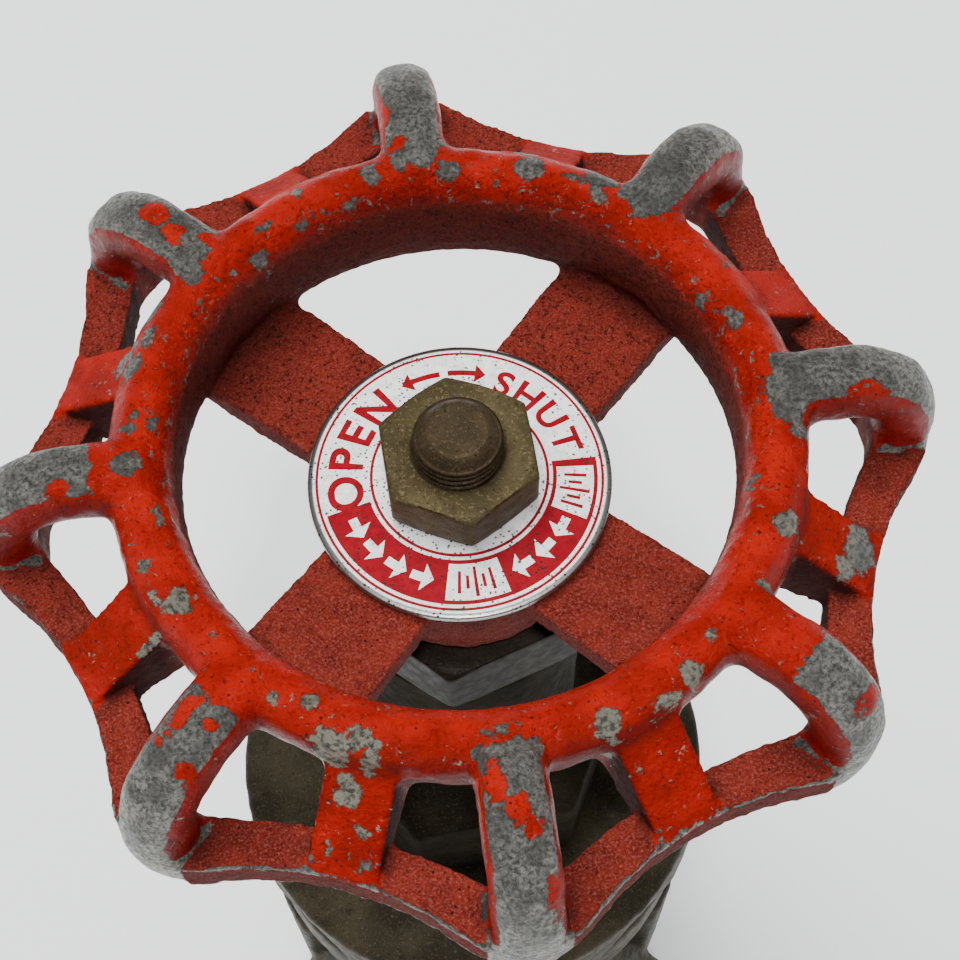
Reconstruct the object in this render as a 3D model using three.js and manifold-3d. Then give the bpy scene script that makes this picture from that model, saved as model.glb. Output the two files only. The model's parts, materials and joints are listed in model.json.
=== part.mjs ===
// Bronze gate valve with screwed ends, a non-rising stem and a malleable iron handwheel.
// Millimetres, +Z up. The valve stands on the lower flats of its two end hexagons at z = 0,
// the stem lies on the Z axis and water flows along Y. It is drawn closed.
import * as THREE from 'three';
import { mergeVertices } from 'three/addons/utils/BufferGeometryUtils.js';
import Module from 'manifold-3d';

const wasm = await Module();
wasm.setup();

// Driving dimensions.
const gap = 0.3; // clearance left between two pieces that meet
const overlap = 1; // how far joined and cutting solids run into each other
const roundSteps = 32; // sides of an ordinary turned surface
const smallSteps = 20; // sides of a small turned surface
const ringSteps = 48; // sides of the ring, which is the largest turned surface

const faceToFace = 60;
const endHexAcross = 49;
const endHexLength = 13;
const endHexChamfer = 1.2;
const barrelRadius = 23.4;
const barrelHalfLength = 17;
const flowRadius = 15.5;
const pipeThreadMouthRadius = 20.9;
const pipeThreadInnerRadius = 20.3;
const pipeThreadDepth = 13.6;

const pipeAxisZ = endHexAcross / 2;
const rimZ = pipeAxisZ + 133.6; // top of the grip band
const wedgeLift = 34.3; // travel from shut to fully open

const chamberHalfWidth = 27.4;
const chamberCornerRadius = 29.4; // distance of its rounded corners from the stem axis
const chamberHalfDepth = 16;
const chamberRound = 2.5;
const chamberWall = 3.6;
const chamberFloor = 3.6;
const chamberInnerHalfDepth = 10.6;

const bodyNeckTop = rimZ - 91;
const bodyNeckRadius = 28.8;
const bodyThreadRadius = 25.8;
const bodyThreadBottom = rimZ - 104;
const smallChamfer = 0.8; // on the edges of the turned castings

const bonnetTop = rimZ - 74.2;
const bonnetPadRadius = 21;
const bonnetShoulderRadius = 29.4;
const bonnetHexAcross = 57;
const bonnetCornerRadius = 29.7;
const bonnetBossRadius = 12.6;
const bonnetBossTop = rimZ - 68.6;
const bonnetCavityRadius = 22.3;
const bonnetSkirtRadius = 25.5;
const bonnetSkirtBottom = rimZ - 103;
const nutPocketRadius = 10;
const nutPocketClearance = 0.4;

const boxHexAcross = 32;
const boxHexTurn = -20.5; // degrees
const nutChamfer = 1.2; // corners of the stuffing box hexagon and the packing nut
const boxHexTop = rimZ - 57.5;
const boxHexBottom = rimZ - 73.9;
const boxFootRadius = 15;
const boxNeckRadius = 12;
const boxNeckTop = rimZ - 23.8;
const boxThreadRadius = 9;
const boxThreadTop = rimZ - 18.6;
const packingBoreRadius = 7.2;
const packingBoreBottom = rimZ - 37.9;

const stemRadius = 5;
const stemBoreRadius = stemRadius + gap;
const stemCollarRadius = 8.6;
const stemCollarTop = rimZ - 65.3;
const stemCollarBottom = rimZ - 68.3;
const stemBottom = pipeAxisZ + wedgeLift - 15;
const stemSquareAcross = 8;
const stemTipRadius = 3.88;
const stemTipFlatRadius = 2.6; // flat end inside its chamfer
const stemTipTop = rimZ + 8.5;

const packingNutAcross = 24;
const packingNutTurn = -6; // degrees
const packingNutTop = rimZ - 15.2;
const packingNutBottom = rimZ - 23.5;
const packingNutRoof = 1.8;
const packingRingCount = 4;
const packingRingHeight = 2.6;

const wedgeRadius = 18.8;
const wedgeHalfThickness = 8.2;
const wedgeTaper = 5; // degrees on each face
const wedgeBossRadius = 9.2;
const wedgeBossHeight = 9.3;
const wedgeLugReach = 21.6;
const wedgeLugHalfWidth = 2.8;
const wedgeTop = pipeAxisZ + wedgeRadius + wedgeBossHeight;
const nutPocketTop = wedgeTop + wedgeLift + nutPocketClearance;
const seatRadius = 18.4;
const seatReach = 11; // the seat rings fill the body this far from the stem axis
const wedgeBlockWidth = 60; // the block that the wedge and its seat faces are cut with
const wedgeBlockReach = 22;
const ribInnerX = 19.6; // the guide ribs stand in line with the wedge lugs
const ribThickness = 1.8;
const ribCentreY = 4.1;
const ribDrop = 9; // below the pipe axis

const wheelTurn = 6.83; // degrees from +X to the first knob
const knobCount = 8;
const spokeCount = 4;
const hubRadius = 11.3;
const hubTop = rimZ - 1.65;
const hubBottom = rimZ - 14;
const hubBossRadius = 7.2;
const hubBossTop = rimZ - 1;
const spokeWidthAtHub = 10.9;
const spokeWidthAtRing = 12.5;
const spokeInner = 4;
const spokeTop = rimZ - 1.7;
const spokeBottom = rimZ - 4.6;
const spokeOuter = 26;
const bandThickness = 4.4;
const bandTip = 42.6;
const bandValley = 37.25;
const bandCornerRadius = 7;
const bandInnerTip = 37.3;
const bandInnerValley = 33.5;
const bandInnerCornerRadius = 5.5;
const tabWidth = 5.9;
const tabGussetInner = 26.8;
const knobWidth = 5.9;
const knobThickness = 5.7;
const knobEdgeRadius = 2.1;

const plateRadius = 13.62;
const plateThickness = 0.8;
const plateHole = 4.2;
const wheelNutAcross = 13;
const wheelNutTurn = 8.2; // degrees
const wheelNutBottom = rimZ + 0.4;
const wheelNutTop = rimZ + 5.2;
const wheelNutChamfer = 0.95;

// Turning a geometry into a solid and back.

function triangleList(position, index) {
  const kept = [];
  for (let i = 0; i < index.count; i += 3) {
    const corners = [index.getX(i), index.getX(i + 1), index.getX(i + 2)];
    if (new Set(corners).size === 3) {
      kept.push(corners);
    }
  }
  const at = (i) => new THREE.Vector3().fromBufferAttribute(position, i);
  const volume = kept.reduce((sum, [a, b, c]) => sum + at(a).dot(at(b).cross(at(c))), 0);
  return volume < 0 ? kept.map(([a, b, c]) => [a, c, b]) : kept;
}

function solid(geometry) {
  const bare = geometry.clone();
  bare.deleteAttribute('normal');
  bare.deleteAttribute('uv');
  const merged = mergeVertices(bare, 1e-4);
  const vertProperties = new Float32Array(merged.attributes.position.array);
  const triVerts = new Uint32Array(triangleList(merged.attributes.position, merged.index).flat());
  return new wasm.Manifold(new wasm.Mesh({ numProp: 3, vertProperties, triVerts }));
}

function joined(solids) {
  return solids.reduce((sum, next) => sum.add(next));
}

function cut(first, tools) {
  return tools.reduce((rest, tool) => rest.subtract(tool), first);
}

function namedMesh(name, shape, colour, roughness, metalness) {
  const { vertProperties, triVerts } = shape.getMesh();
  const geometry = new THREE.BufferGeometry();
  geometry.setAttribute('position', new THREE.BufferAttribute(vertProperties, 3));
  geometry.setIndex(new THREE.BufferAttribute(triVerts, 1));
  geometry.computeVertexNormals();
  const material = new THREE.MeshStandardMaterial({ color: colour, roughness, metalness });
  const mesh = new THREE.Mesh(geometry, material);
  mesh.name = name;
  return mesh;
}

// Basic shapes. A turned profile lists [radius, height] pairs.

function turned(profile, steps = roundSteps, turn = 0) {
  const points = profile.map(([radius, height]) => new THREE.Vector2(radius, height));
  const geometry = new THREE.LatheGeometry(points, steps);
  geometry.rotateX(Math.PI / 2);
  geometry.rotateZ(THREE.MathUtils.degToRad(turn));
  return solid(geometry);
}

function disc(radius, bottom, top, steps = roundSteps) {
  return turned([[0, bottom], [radius, bottom], [radius, top], [0, top]], steps);
}

function polygonPrism(sides, across, bottom, top, turn) {
  const corner = across / 2 / Math.cos(Math.PI / sides);
  return turned([[0, bottom], [corner, bottom], [corner, top], [0, top]], sides, turn);
}

function chamferedHex(across, bottom, top, turn, chamfer) {
  const corner = across / Math.sqrt(3);
  const drop = chamfer * Math.tan(Math.PI / 6);
  const limit = turned([
    [0, bottom], [corner - chamfer, bottom], [corner, bottom + drop],
    [corner, top - drop], [corner - chamfer, top], [0, top],
  ], roundSteps);
  return polygonPrism(6, across, bottom, top, turn).intersect(limit);
}

function box(width, depth, height, x, y, z, turn = 0) {
  const geometry = new THREE.BoxGeometry(width, depth, height);
  geometry.translate(x, y, z);
  geometry.rotateZ(THREE.MathUtils.degToRad(turn));
  return solid(geometry);
}

// A plate whose outline lies in the XZ plane, thickness along Y and centred on it.
function uprightPlate(shape, depth, bevel = 0, curveSegments = 14) {
  const geometry = new THREE.ExtrudeGeometry(shape, {
    depth: depth - 2 * bevel,
    bevelEnabled: bevel > 0,
    bevelThickness: bevel,
    bevelSize: bevel,
    bevelOffset: -bevel,
    bevelSegments: 3,
    curveSegments,
  });
  geometry.translate(0, 0, bevel - depth / 2);
  geometry.rotateX(Math.PI / 2);
  return solid(geometry);
}

function alongFlow(profile, steps = roundSteps, turn = 0) {
  const points = profile.map(([radius, distance]) => new THREE.Vector2(radius, distance));
  const geometry = new THREE.LatheGeometry(points, steps);
  geometry.rotateY(THREE.MathUtils.degToRad(turn));
  geometry.translate(0, 0, pipeAxisZ);
  return solid(geometry);
}

// Body and closing parts.

function chamberOutline(halfWidth, halfHeight, top) {
  const shape = new THREE.Shape();
  shape.moveTo(halfWidth, top);
  shape.lineTo(-halfWidth, top);
  shape.lineTo(-halfWidth, pipeAxisZ);
  shape.absellipse(0, pipeAxisZ, halfWidth, halfHeight, Math.PI, 2 * Math.PI, false);
  shape.lineTo(halfWidth, top);
  return shape;
}

// Tapered block that narrows downwards, its half thickness given at the pipe axis.
function wedgePrism(halfThickness) {
  const widening = wedgeBlockReach * Math.tan(THREE.MathUtils.degToRad(wedgeTaper));
  const bottom = pipeAxisZ - wedgeBlockReach;
  const top = pipeAxisZ + wedgeBlockReach;
  const shape = new THREE.Shape();
  shape.moveTo(widening - halfThickness, bottom);
  shape.lineTo(halfThickness - widening, bottom);
  shape.lineTo(halfThickness + widening, top);
  shape.lineTo(-halfThickness - widening, top);
  const geometry = new THREE.ExtrudeGeometry(shape, { depth: wedgeBlockWidth, bevelEnabled: false });
  geometry.translate(0, 0, -wedgeBlockWidth / 2);
  geometry.rotateX(Math.PI / 2);
  geometry.rotateZ(Math.PI / 2);
  return solid(geometry);
}

function endConnection(side) {
  const outer = faceToFace / 2;
  const inner = outer - endHexLength;
  const corner = endHexAcross / Math.sqrt(3);
  const chamferedCorner = corner - endHexChamfer;
  const prism = alongFlow([
    [0, side * (inner - overlap)], [corner, side * (inner - overlap)],
    [corner, side * outer], [0, side * outer],
  ], 6, 90);
  const limit = alongFlow([
    [0, side * (inner - overlap)], [chamferedCorner, side * (inner - overlap)],
    [corner, side * (inner + 0.4)], [corner, side * (outer - 0.7)],
    [chamferedCorner, side * outer], [0, side * outer],
  ]);
  return prism.intersect(limit);
}

function pipeThread(side) {
  const outer = faceToFace / 2;
  const inner = outer - pipeThreadDepth;
  return alongFlow([
    [0, side * inner], [pipeThreadInnerRadius, side * inner],
    [pipeThreadMouthRadius, side * (outer + overlap)], [0, side * (outer + overlap)],
  ]);
}

function guideRibs() {
  const reach = chamberHalfWidth - chamberWall / 2 - ribInnerX;
  const bottom = pipeAxisZ - ribDrop;
  const height = bodyThreadBottom - 2 * gap - bottom;
  const middle = bottom + height / 2;
  const ribs = [];
  for (const sideX of [-1, 1]) {
    for (const sideY of [-1, 1]) {
      const x = sideX * (ribInnerX + reach / 2);
      ribs.push(box(reach, ribThickness, height, x, sideY * ribCentreY, middle));
    }
  }
  return joined(ribs);
}

function bodyShape() {
  const halfHeight = endHexAcross / 2 - gap;
  const neckFoot = bodyThreadBottom - 5;
  const block = uprightPlate(
    chamberOutline(chamberHalfWidth, halfHeight, neckFoot + 3), 2 * chamberHalfDepth, chamberRound);
  const chamber = block.intersect(disc(chamberCornerRadius, 0, bodyNeckTop));
  const neck = turned([
    [0, neckFoot - 6], [bodyNeckRadius - 6.8, neckFoot - 6], [bodyNeckRadius - 1.8, neckFoot],
    [bodyNeckRadius - smallChamfer, neckFoot + 4.5], [bodyNeckRadius, neckFoot + 9],
    [bodyNeckRadius, bodyNeckTop - smallChamfer], [bodyNeckRadius - smallChamfer, bodyNeckTop],
    [0, bodyNeckTop],
  ]);
  const barrel = alongFlow([
    [0, -barrelHalfLength], [barrelRadius, -barrelHalfLength],
    [barrelRadius, barrelHalfLength], [0, barrelHalfLength],
  ]);
  const innerWidth = chamberHalfWidth - chamberWall;
  const hollow = uprightPlate(
    chamberOutline(innerWidth, halfHeight - chamberFloor, bodyThreadBottom + overlap),
    2 * chamberInnerHalfDepth);
  const neckBore = disc(bodyThreadRadius, bodyThreadBottom, bodyNeckTop + overlap);
  const boreReach = faceToFace / 3;
  const flowBore = alongFlow([
    [0, -boreReach], [flowRadius, -boreReach], [flowRadius, boreReach], [0, boreReach],
  ]);
  const seatBlock = alongFlow([
    [0, -seatReach], [seatRadius, -seatReach], [seatRadius, seatReach], [0, seatReach],
  ]);
  const seats = seatBlock.subtract(wedgePrism(wedgeHalfThickness + gap));
  const shell = cut(joined([chamber, neck, barrel, endConnection(-1), endConnection(1)]), [hollow]);
  const withInside = joined([shell, seats, guideRibs()]);
  return cut(withInside, [neckBore, flowBore, pipeThread(-1), pipeThread(1)]);
}

function bonnetShape() {
  const shoulderZ = bonnetTop - 4.8;
  const collarTop = bonnetTop - 6.4;
  const collarBottom = bodyNeckTop + gap;
  const roof = bonnetTop - 5.6;
  const upper = turned([
    [0, collarTop - 2], [bonnetShoulderRadius, collarTop - 2], [bonnetShoulderRadius, shoulderZ],
    [bonnetPadRadius, bonnetTop], [bonnetBossRadius, bonnetTop],
    [bonnetBossRadius, bonnetBossTop - smallChamfer],
    [bonnetBossRadius - smallChamfer, bonnetBossTop],
    [0, bonnetBossTop],
  ]);
  const collar = polygonPrism(8, bonnetHexAcross, collarBottom, collarTop, 22.5)
    .intersect(turned([
      [0, collarBottom], [bonnetCornerRadius - smallChamfer, collarBottom],
      [bonnetCornerRadius, collarBottom + 0.6], [bonnetCornerRadius, collarTop - 0.3],
      [bonnetShoulderRadius, collarTop], [0, collarTop],
    ]));
  const skirt = disc(bonnetSkirtRadius, bonnetSkirtBottom, collarBottom + overlap);
  const cavity = turned([
    [0, bonnetSkirtBottom - overlap], [bonnetCavityRadius, bonnetSkirtBottom - overlap],
    [bonnetCavityRadius, roof - 2.4], [bonnetCavityRadius - 2.4, roof],
    [nutPocketRadius, roof], [nutPocketRadius, nutPocketTop], [0, nutPocketTop],
  ]);
  const stemBore = disc(
    stemBoreRadius + 0.1, nutPocketTop - overlap, bonnetBossTop + overlap, smallSteps);
  return cut(joined([upper, collar, skirt]), [cavity, stemBore]);
}

function stuffingBoxShape() {
  const outside = turned([
    [0, boxHexTop - overlap], [boxFootRadius, boxHexTop - overlap], [boxFootRadius, boxHexTop],
    [boxNeckRadius + 0.8, boxHexTop + 1.4], [boxNeckRadius, boxHexTop + 3],
    [boxNeckRadius, boxNeckTop], [boxThreadRadius, boxNeckTop],
    [boxThreadRadius, boxThreadTop + 0.5], [boxThreadRadius - 0.5, boxThreadTop],
    [0, boxThreadTop],
  ]);
  const hex = chamferedHex(boxHexAcross, boxHexBottom, boxHexTop, boxHexTurn, nutChamfer);
  const threadBore = disc(bonnetBossRadius + gap, boxHexBottom - overlap, bonnetBossTop + gap);
  const collarBore = disc(
    stemCollarRadius + gap, bonnetBossTop - overlap, stemCollarTop + gap, smallSteps);
  const stemBore = disc(stemBoreRadius, stemCollarTop, packingBoreBottom + overlap, smallSteps);
  const packingBore = disc(
    packingBoreRadius, packingBoreBottom, boxThreadTop + overlap, smallSteps);
  return cut(joined([outside, hex]), [threadBore, collarBore, stemBore, packingBore]);
}

function packingNutShape() {
  const hex = chamferedHex(
    packingNutAcross, packingNutBottom, packingNutTop, packingNutTurn, nutChamfer);
  const threadBore = disc(
    boxThreadRadius + gap, packingNutBottom - overlap, packingNutTop - packingNutRoof, smallSteps);
  const stemBore = disc(stemBoreRadius, packingNutBottom, packingNutTop + overlap, smallSteps);
  return cut(hex, [threadBore, stemBore]);
}

function glandShape() {
  const top = packingNutTop - packingNutRoof - gap;
  const flangeBottom = boxThreadTop + gap / 2;
  const inner = stemBoreRadius;
  return turned([
    [inner, packingTop() + gap], [packingBoreRadius - gap, packingTop() + gap],
    [packingBoreRadius - gap, flangeBottom], [boxThreadRadius - 0.4, flangeBottom],
    [boxThreadRadius - 0.4, top], [inner, top], [inner, packingTop() + gap],
  ], smallSteps);
}

function packingTop() {
  return packingBoreBottom + packingRingCount * (packingRingHeight + gap);
}

function packingRingShape(index) {
  const bottom = packingBoreBottom + gap + index * (packingRingHeight + gap);
  const top = bottom + packingRingHeight;
  const outer = packingBoreRadius - 0.15;
  const inner = stemRadius + 0.15;
  return turned([
    [inner, bottom], [outer, bottom], [outer, top], [inner, top], [inner, bottom],
  ], smallSteps);
}

// Moving parts.

function stemShape() {
  const squareTop = hubBossTop - 0.9;
  const shankTop = hubBottom - gap;
  const turnedPart = turned([
    [0, stemBottom], [stemRadius - 1, stemBottom], [stemRadius, stemBottom + 1],
    [stemRadius, stemCollarBottom], [stemCollarRadius, stemCollarBottom],
    [stemCollarRadius, stemCollarTop], [stemRadius, stemCollarTop],
    [stemRadius, shankTop], [0, shankTop],
  ], smallSteps);
  const square = polygonPrism(4, stemSquareAcross, shankTop - overlap, squareTop, 45 + wheelTurn)
    .intersect(disc(stemRadius + 0.3, shankTop - overlap, squareTop, smallSteps));
  const tip = turned([
    [0, squareTop - overlap], [stemTipRadius, squareTop - overlap],
    [stemTipRadius, stemTipTop - 1.3], [stemTipRadius - 0.4, stemTipTop - 0.9],
    [stemTipFlatRadius, stemTipTop], [0, stemTipTop],
  ], smallSteps);
  return joined([turnedPart, square, tip]);
}

function wedgeShape() {
  const round = alongFlow([[0, -12], [wedgeRadius, -12], [wedgeRadius, 12], [0, 12]]);
  const face = round.intersect(wedgePrism(wedgeHalfThickness));
  const boss = turned([
    [0, pipeAxisZ + 4], [6, pipeAxisZ + 4], [wedgeBossRadius, pipeAxisZ + wedgeRadius - 3],
    [wedgeBossRadius, wedgeTop - 0.6], [wedgeBossRadius - 0.6, wedgeTop], [0, wedgeTop],
  ], smallSteps);
  const lugs = box(2 * wedgeLugReach, 2 * wedgeLugHalfWidth, 12, 0, 0, pipeAxisZ - 2);
  const threadBore = disc(
    stemRadius + gap + 0.1, pipeAxisZ - 15.6, wedgeTop + overlap, smallSteps);
  return cut(joined([face, boss, lugs]), [threadBore]);
}

// Handwheel.

// Radius of the arc that joins two corner arcs and touches the valley between them.
function valleyRadius(tip, valley, corner) {
  const centre = tip - corner;
  const cosine = Math.cos(Math.PI / knobCount);
  const constant = valley ** 2 + centre ** 2 - 2 * centre * cosine * valley - corner ** 2;
  return constant / (2 * (corner + centre * cosine - valley));
}

function scallopedPoints(tip, valley, corner) {
  const radius = valleyRadius(tip, valley, corner);
  const half = Math.PI / knobCount;
  const centre = tip - corner;
  const valleyCentre = valley + radius;
  const meet = Math.atan2(
    valleyCentre * Math.sin(half), valleyCentre * Math.cos(half) - centre);
  const bend = meet - half;
  const points = [];
  for (let k = 0; k < knobCount; k += 1) {
    const knobAngle = THREE.MathUtils.degToRad(wheelTurn) + 2 * half * k;
    const tabAngle = knobAngle + half;
    for (let i = -4; i <= 4; i += 1) {
      const angle = knobAngle + (meet * i) / 4;
      points.push(new THREE.Vector2(
        centre * Math.cos(knobAngle) + corner * Math.cos(angle),
        centre * Math.sin(knobAngle) + corner * Math.sin(angle)));
    }
    for (let i = -2; i <= 2; i += 1) {
      const angle = tabAngle + Math.PI - (bend * i) / 3;
      points.push(new THREE.Vector2(
        valleyCentre * Math.cos(tabAngle) + radius * Math.cos(angle),
        valleyCentre * Math.sin(tabAngle) + radius * Math.sin(angle)));
    }
  }
  return points;
}

function bandShape() {
  const shape = new THREE.Shape(scallopedPoints(bandTip, bandValley, bandCornerRadius));
  shape.holes.push(new THREE.Path(
    scallopedPoints(bandInnerTip, bandInnerValley, bandInnerCornerRadius)));
  const geometry = new THREE.ExtrudeGeometry(shape, { depth: bandThickness, bevelEnabled: false });
  geometry.translate(0, 0, rimZ - bandThickness);
  return solid(geometry);
}

// Oval ring that leans outwards, its section given as [radius, height above the band].
function ringShape() {
  const section = [
    [24.15, 3.5], [24.6, 0], [25.6, -2.6], [27.0, -3.2], [27.9, -1.4], [28.9, 2.6],
    [30.0, 6.4], [29.3, 8.8], [27.3, 9.7], [25.3, 8.9], [24.3, 6.4],
  ];
  const points = section.map(([radius, height]) => new THREE.Vector3(radius, rimZ + height, 0));
  const curve = new THREE.CatmullRomCurve3(points, true);
  return turned(curve.getPoints(13).map((point) => [point.x, point.y]), ringSteps);
}

function spoke(index) {
  const shape = new THREE.Shape();
  shape.moveTo(spokeInner, -spokeWidthAtHub / 2);
  shape.lineTo(spokeOuter, -spokeWidthAtRing / 2);
  shape.lineTo(spokeOuter, spokeWidthAtRing / 2);
  shape.lineTo(spokeInner, spokeWidthAtHub / 2);
  const geometry = new THREE.ExtrudeGeometry(
    shape, { depth: spokeTop - spokeBottom, bevelEnabled: false });
  geometry.translate(0, 0, spokeBottom);
  geometry.rotateZ(THREE.MathUtils.degToRad(wheelTurn + 45 + (360 / spokeCount) * index));
  return solid(geometry);
}

// Gusset between the ring and the band, its top sloping down to the band's outer edge.
function tab(index) {
  const shape = new THREE.Shape();
  shape.moveTo(tabGussetInner, -2.4);
  shape.lineTo(bandValley - 0.4, -3.4);
  shape.lineTo(bandValley, 0);
  shape.lineTo(29.6, 6.2);
  shape.lineTo(tabGussetInner, 6.2);
  return radialPlate(shape, tabWidth, 22.5 + 45 * index);
}

function radialPlate(shape, width, angle) {
  const geometry = new THREE.ExtrudeGeometry(shape, { depth: width, bevelEnabled: false });
  geometry.translate(0, 0, -width / 2);
  geometry.rotateX(Math.PI / 2);
  geometry.translate(0, 0, rimZ);
  geometry.rotateZ(THREE.MathUtils.degToRad(wheelTurn + angle));
  return solid(geometry);
}

// Finger bar: leaves the ring near its top, arches outwards and drops into the band's corner.
function knob(index) {
  const section = new THREE.Shape();
  const cornerX = knobWidth / 2 - knobEdgeRadius;
  const cornerY = knobThickness / 2 - knobEdgeRadius;
  const quarter = Math.PI / 2;
  section.absarc(cornerX, cornerY, knobEdgeRadius, 0, quarter, false);
  section.absarc(-cornerX, cornerY, knobEdgeRadius, quarter, 2 * quarter, false);
  section.absarc(-cornerX, -cornerY, knobEdgeRadius, 2 * quarter, 3 * quarter, false);
  section.absarc(cornerX, -cornerY, knobEdgeRadius, 3 * quarter, 4 * quarter, false);
  const path = new THREE.CatmullRomCurve3([
    new THREE.Vector3(26.6, 0, 7.0),
    new THREE.Vector3(30.5, 0, 8.0),
    new THREE.Vector3(34.5, 0, 7.9),
    new THREE.Vector3(37.7, 0, 6.4),
    new THREE.Vector3(39.5, 0, 3.5),
    new THREE.Vector3(39.9, 0, -0.4),
    new THREE.Vector3(39.9, 0, -3.9),
  ]);
  const geometry = new THREE.ExtrudeGeometry(section, {
    extrudePath: path, steps: 9, curveSegments: 2, bevelEnabled: false,
  });
  geometry.translate(0, 0, rimZ);
  geometry.rotateZ(THREE.MathUtils.degToRad(wheelTurn + 45 * index));
  return solid(geometry);
}

function handwheelShape() {
  const hub = turned([
    [0, hubBottom], [hubRadius - smallChamfer, hubBottom],
    [hubRadius, hubBottom + smallChamfer], [hubRadius, hubTop],
    [hubBossRadius, hubTop], [hubBossRadius, hubBossTop], [0, hubBossTop],
  ]);
  const pieces = [hub, ringShape(), bandShape()];
  for (let i = 0; i < spokeCount; i += 1) {
    pieces.push(spoke(i));
  }
  for (let i = 0; i < knobCount; i += 1) {
    pieces.push(tab(i), knob(i));
  }
  const hole = polygonPrism(
    4, stemSquareAcross + 2 * gap, hubBottom - overlap, hubBossTop + overlap, 45 + wheelTurn);
  return cut(joined(pieces), [hole]);
}

function nameplateShape() {
  const edge = rimZ - 0.54;
  const centre = rimZ + 0.1;
  const flatRadius = 7;
  return turned([
    [plateHole, centre - plateThickness], [flatRadius, centre - plateThickness],
    [plateRadius, edge - plateThickness], [plateRadius, edge], [flatRadius, centre],
    [plateHole, centre], [plateHole, centre - plateThickness],
  ], ringSteps);
}

function wheelNutShape() {
  const hex = chamferedHex(wheelNutAcross, wheelNutBottom, wheelNutTop, wheelNutTurn, wheelNutChamfer);
  const hole = disc(plateHole, wheelNutBottom - overlap, wheelNutTop + overlap, smallSteps);
  return cut(hex, [hole]);
}

const valve = new THREE.Group();
valve.add(namedMesh('body', bodyShape(), 0x6b5f45, 0.5, 0.7));
valve.add(namedMesh('bonnet', bonnetShape(), 0x6b5f45, 0.5, 0.7));
valve.add(namedMesh('stuffing_box', stuffingBoxShape(), 0x6b5f45, 0.5, 0.7));
valve.add(namedMesh('packing_nut', packingNutShape(), 0x4b4030, 0.45, 0.8));
valve.add(namedMesh('packing_gland', glandShape(), 0x9a7b42, 0.4, 0.9));
for (let i = 0; i < packingRingCount; i += 1) {
  valve.add(namedMesh(`packing_ring_${i + 1}`, packingRingShape(i), 0x2e2e2c, 0.9, 0.0));
}
valve.add(namedMesh('stem', stemShape(), 0x786946, 0.4, 0.9));
valve.add(namedMesh('wedge', wedgeShape(), 0x8a7448, 0.45, 0.85));
valve.add(namedMesh('handwheel', handwheelShape(), 0xc82d1e, 0.4, 0.1));
valve.add(namedMesh('nameplate', nameplateShape(), 0xd8d8d4, 0.35, 0.6));
valve.add(namedMesh('wheel_nut', wheelNutShape(), 0x786946, 0.45, 0.85));

export default valve;
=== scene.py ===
"""Looks of a screwed-end bronze gate valve with a chipped red handwheel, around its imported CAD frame.

Lengths are metres. MM turns millimetres into metres where a size is easier to read that way.
"""
import json
import math

import bmesh
import bpy
import numpy as np
from mathutils import Matrix, Vector, noise


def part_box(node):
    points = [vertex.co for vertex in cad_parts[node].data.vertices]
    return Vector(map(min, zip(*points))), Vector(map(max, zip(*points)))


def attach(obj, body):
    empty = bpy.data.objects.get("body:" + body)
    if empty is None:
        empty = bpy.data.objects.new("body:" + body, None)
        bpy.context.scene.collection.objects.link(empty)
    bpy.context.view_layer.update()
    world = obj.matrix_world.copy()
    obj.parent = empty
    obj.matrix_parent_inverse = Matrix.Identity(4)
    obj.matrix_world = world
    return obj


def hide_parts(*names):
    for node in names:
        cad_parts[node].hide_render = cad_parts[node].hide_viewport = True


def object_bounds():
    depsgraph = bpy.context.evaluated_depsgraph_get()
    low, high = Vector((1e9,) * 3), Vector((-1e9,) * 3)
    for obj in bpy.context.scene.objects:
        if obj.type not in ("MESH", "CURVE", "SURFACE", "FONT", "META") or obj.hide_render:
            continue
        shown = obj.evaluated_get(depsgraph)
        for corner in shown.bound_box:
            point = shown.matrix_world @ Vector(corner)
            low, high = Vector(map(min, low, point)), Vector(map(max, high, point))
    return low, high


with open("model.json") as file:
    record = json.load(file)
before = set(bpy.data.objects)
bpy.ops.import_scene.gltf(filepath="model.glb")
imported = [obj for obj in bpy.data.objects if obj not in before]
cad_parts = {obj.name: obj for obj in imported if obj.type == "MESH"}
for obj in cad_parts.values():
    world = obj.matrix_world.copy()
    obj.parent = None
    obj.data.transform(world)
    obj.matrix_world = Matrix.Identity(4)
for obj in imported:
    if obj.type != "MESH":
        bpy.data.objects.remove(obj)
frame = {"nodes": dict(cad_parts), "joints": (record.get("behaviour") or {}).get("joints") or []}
cad_low, cad_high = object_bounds()

MM = 0.001
TAU = 2 * math.pi

# Points round every ring of a turned piece, and their angles.
AROUND = 144
THETA = np.arange(AROUND) * TAU / AROUND
ROWS_PER_TURN = 12  # rings in one turn of a thread

# Relief of the cast surfaces, as layers of noise: swings per metre, seed, height in millimetres.
SMOOTH_DENTS = ((280.0, 1.0, 0.17), (800.0, 2.0, 0.1))
ROUGH_GRAIN = ((1500.0, 3.0, 0.1), (700.0, 4.0, 0.09))
SAND_PITS = ((450.0, 6.0, 0.06), (1100.0, 7.0, 0.04))
CASTING_SMOOTH_STEPS = 9

# Places taken from the frame.
RIM_Z = frame["joints"][0]["pos_m"][2]  # top of the handwheel's grip band
BODY_LOW, BODY_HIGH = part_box("body")
STEM_LOW, STEM_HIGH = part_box("stem")

# Layout of the CAD model, in millimetres and degrees.
KNOBS = 8
KNOB_PITCH = 360.0 / KNOBS
WHEEL_TURN = 6.83  # from +X round to the first finger bar
RING_FACETS = 48  # flat facets round the wheel's ring
CASTING_FACETS = 32  # flat facets round the castings below
END_HEX_ACROSS = 49.0
PIPE_Z = BODY_LOW.z + END_HEX_ACROSS / 2 * MM  # axis of the flow passage

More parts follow.
